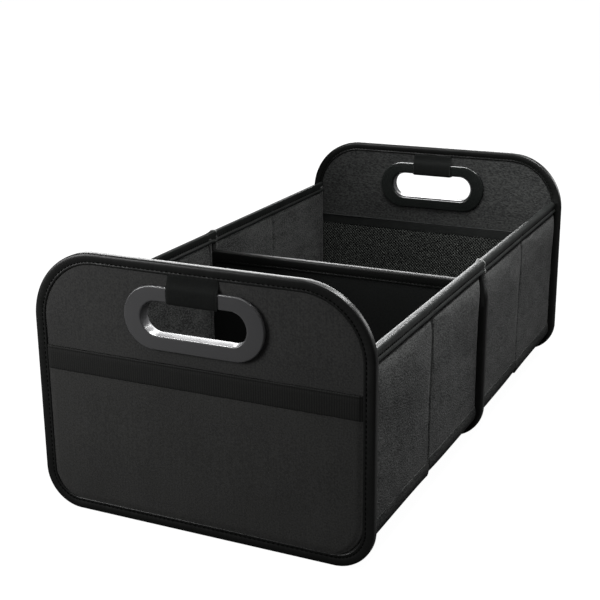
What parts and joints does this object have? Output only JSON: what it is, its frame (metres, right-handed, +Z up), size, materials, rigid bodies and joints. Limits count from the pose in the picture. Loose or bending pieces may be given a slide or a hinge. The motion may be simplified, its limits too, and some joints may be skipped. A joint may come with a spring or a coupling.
{
  "type": "car trunk organizer",
  "caption": "Open box of stiffened black fabric for a car trunk, with oval grips in tall end panels, a middle divider, pockets, and side walls that fold inward to collapse it.",
  "frame": {"origin": "on the ground under the middle of the organizer", "axes": "+X across the width to the right as seen from the front end, +Y from the front end panel to the rear end panel, +Z up"},
  "size_m": [0.325, 0.6076, 0.245],
  "materials": {
    "panel_fabric": "matte charcoal woven polyester",
    "wall_fabric": "fine-grained charcoal polyester",
    "floor_fabric": "matte black padded polyester",
    "binding_tape": "satin black folded tape",
    "elastic_band": "ribbed black elastic",
    "pocket_mesh": "black open mesh",
    "grip_plastic": "satin dark grey moulded plastic",
    "stiff_board": "grey pressed board"
  },
  "bodies": {
    "root": {"divider_board": "stiff_board", "divider_front_cover": "panel_fabric", "divider_rear_cover": "panel_fabric", "divider_binding": "binding_tape", "left_wall_joiner": "binding_tape", "right_wall_joiner": "binding_tape", "front_floor": "floor_fabric", "rear_floor": "floor_fabric"},
    "front_panel": {"front_outer_cover": "panel_fabric", "front_board": "stiff_board", "front_lining": "panel_fabric", "front_binding": "binding_tape", "front_grip_outer": "grip_plastic", "front_grip_inner": "grip_plastic", "front_grip_tab": "binding_tape", "front_pocket": "panel_fabric", "front_pocket_band": "elastic_band"},
    "rear_panel": {"rear_outer_cover": "panel_fabric", "rear_board": "stiff_board", "rear_lining": "panel_fabric", "rear_binding": "binding_tape", "rear_grip_outer": "grip_plastic", "rear_grip_inner": "grip_plastic", "rear_grip_tab": "binding_tape", "rear_mesh_pocket": "pocket_mesh", "rear_mesh_hem": "binding_tape"},
    "left_front_inner_bay": {"left_front_inner_cover": "wall_fabric", "left_front_inner_board": "stiff_board", "left_front_inner_top_binding": "binding_tape", "left_front_inner_bottom_binding": "binding_tape"},
    "left_front_outer_bay": {"left_front_outer_cover": "wall_fabric", "left_front_outer_board": "stiff_board", "left_front_outer_top_binding": "binding_tape", "left_front_outer_bottom_binding": "binding_tape"},
    "left_rear_inner_bay": {"left_rear_inner_cover": "wall_fabric", "left_rear_inner_board": "stiff_board", "left_rear_inner_top_binding": "binding_tape", "left_rear_inner_bottom_binding": "binding_tape"},
    "left_rear_outer_bay": {"left_rear_outer_cover": "wall_fabric", "left_rear_outer_board": "stiff_board", "left_rear_outer_top_binding": "binding_tape", "left_rear_outer_bottom_binding": "binding_tape"},
    "right_front_inner_bay": {"right_front_inner_cover": "wall_fabric", "right_front_inner_board": "stiff_board", "right_front_inner_top_binding": "binding_tape", "right_front_inner_bottom_binding": "binding_tape"},
    "right_front_outer_bay": {"right_front_outer_cover": "wall_fabric", "right_front_outer_board": "stiff_board", "right_front_outer_top_binding": "binding_tape", "right_front_outer_bottom_binding": "binding_tape"},
    "right_rear_inner_bay": {"right_rear_inner_cover": "wall_fabric", "right_rear_inner_board": "stiff_board", "right_rear_inner_top_binding": "binding_tape", "right_rear_inner_bottom_binding": "binding_tape"},
    "right_rear_outer_bay": {"right_rear_outer_cover": "wall_fabric", "right_rear_outer_board": "stiff_board", "right_rear_outer_top_binding": "binding_tape", "right_rear_outer_bottom_binding": "binding_tape"}
  },
  "joints": [
    {"name": "front_fold", "type": "hinge", "parent": "root", "child": "right_front_inner_bay", "pos_m": [0.1492, -0.0045, 0], "axis": [0, 0, -1], "range_deg": [0, 88], "deforming": ["front_floor"]},
    {"name": "right_front_crease", "type": "hinge", "parent": "right_front_inner_bay", "child": "right_front_outer_bay", "pos_m": [0.156, -0.1468, 0], "axis": [0, 0, 1], "range_deg": [0, 176]},
    {"name": "front_panel_hinge", "type": "hinge", "parent": "right_front_outer_bay", "child": "front_panel", "pos_m": [0.1492, -0.2891, 0], "axis": [0, 0, -1], "range_deg": [0, 88]},
    {"name": "left_front_divider_hinge", "type": "hinge", "parent": "root", "child": "left_front_inner_bay", "pos_m": [-0.1492, -0.0045, 0], "axis": [0, 0, 1], "range_deg": [0, 88]},
    {"name": "left_front_crease", "type": "hinge", "parent": "left_front_inner_bay", "child": "left_front_outer_bay", "pos_m": [-0.156, -0.1468, 0], "axis": [0, 0, -1], "range_deg": [0, 176]},
    {"name": "rear_fold", "type": "hinge", "parent": "root", "child": "right_rear_inner_bay", "pos_m": [0.1492, 0.0045, 0], "axis": [0, 0, 1], "range_deg": [0, 88], "deforming": ["rear_floor"]},
    {"name": "right_rear_crease", "type": "hinge", "parent": "right_rear_inner_bay", "child": "right_rear_outer_bay", "pos_m": [0.156, 0.1468, 0], "axis": [0, 0, -1], "range_deg": [0, 176]},
    {"name": "rear_panel_hinge", "type": "hinge", "parent": "right_rear_outer_bay", "child": "rear_panel", "pos_m": [0.1492, 0.2891, 0], "axis": [0, 0, 1], "range_deg": [0, 88]},
    {"name": "left_rear_divider_hinge", "type": "hinge", "parent": "root", "child": "left_rear_inner_bay", "pos_m": [-0.1492, 0.0045, 0], "axis": [0, 0, -1], "range_deg": [0, 88]},
    {"name": "left_rear_crease", "type": "hinge", "parent": "left_rear_inner_bay", "child": "left_rear_outer_bay", "pos_m": [-0.156, 0.1468, 0], "axis": [0, 0, 1], "range_deg": [0, 176]}
  ],
  "couplings": [
    {"joint": "front_panel_hinge", "follows": "front_fold", "ratio": 1},
    {"joint": "right_front_crease", "follows": "front_fold", "ratio": 2},
    {"joint": "left_front_divider_hinge", "follows": "front_fold", "ratio": 1},
    {"joint": "left_front_crease", "follows": "front_fold", "ratio": 2},
    {"joint": "rear_panel_hinge", "follows": "rear_fold", "ratio": 1},
    {"joint": "right_rear_crease", "follows": "rear_fold", "ratio": 2},
    {"joint": "left_rear_divider_hinge", "follows": "rear_fold", "ratio": 1},
    {"joint": "left_rear_crease", "follows": "rear_fold", "ratio": 2}
  ]
}
